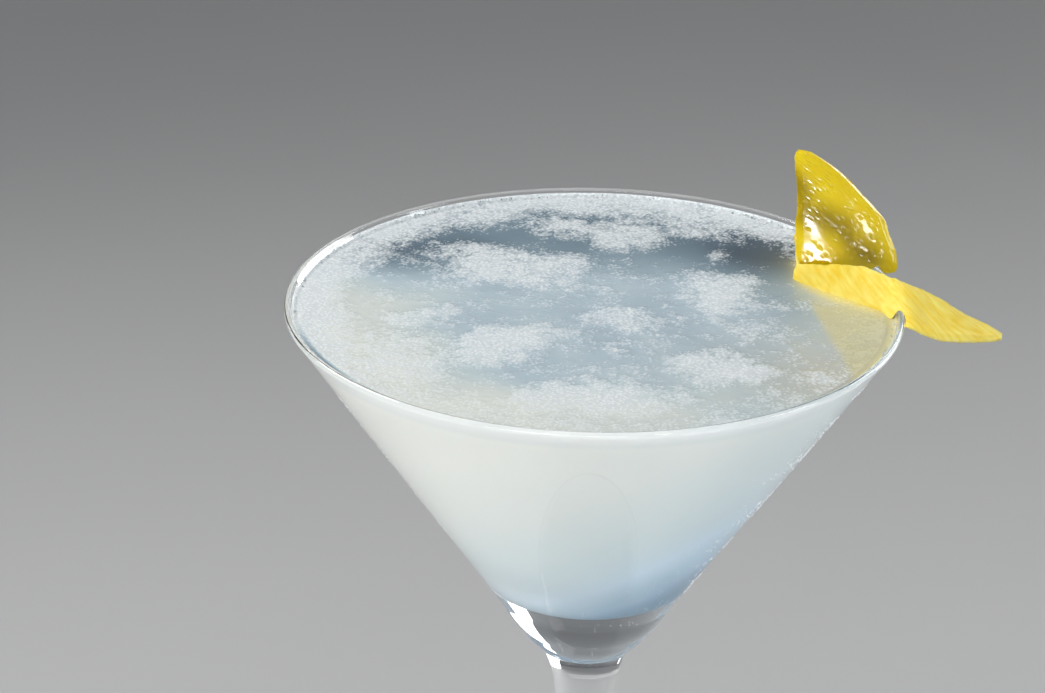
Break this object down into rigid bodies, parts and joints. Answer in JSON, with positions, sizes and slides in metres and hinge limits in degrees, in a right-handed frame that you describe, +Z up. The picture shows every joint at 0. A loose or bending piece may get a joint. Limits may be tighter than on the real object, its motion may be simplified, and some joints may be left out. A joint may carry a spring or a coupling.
{
  "type": "white lady cocktail in a stemmed glass",
  "caption": "Cloudy pale cocktail with froth in a stemmed cone glass, with a lemon twist slit over the rim; it stands on its round foot.",
  "frame": {"origin": "centre of the foot's flat underside, on the surface the glass stands on", "axes": "+Z up along the glass's axis; the lemon twist hangs on the rim at +X; -Y is the front"},
  "size_m": [0.1272, 0.11, 0.1918],
  "materials": {
    "clear_glass": "clear smooth drinking glass",
    "cloudy_drink": "cloudy pale citrus drink with a wet surface and matt white froth",
    "lemon_peel": "yellow lemon zest with oil pores and a pale pith"
  },
  "bodies": {
    "root": {"glass": "clear_glass", "drink": "cloudy_drink", "lemon_twist": "lemon_peel"}
  },
  "joints": []
}
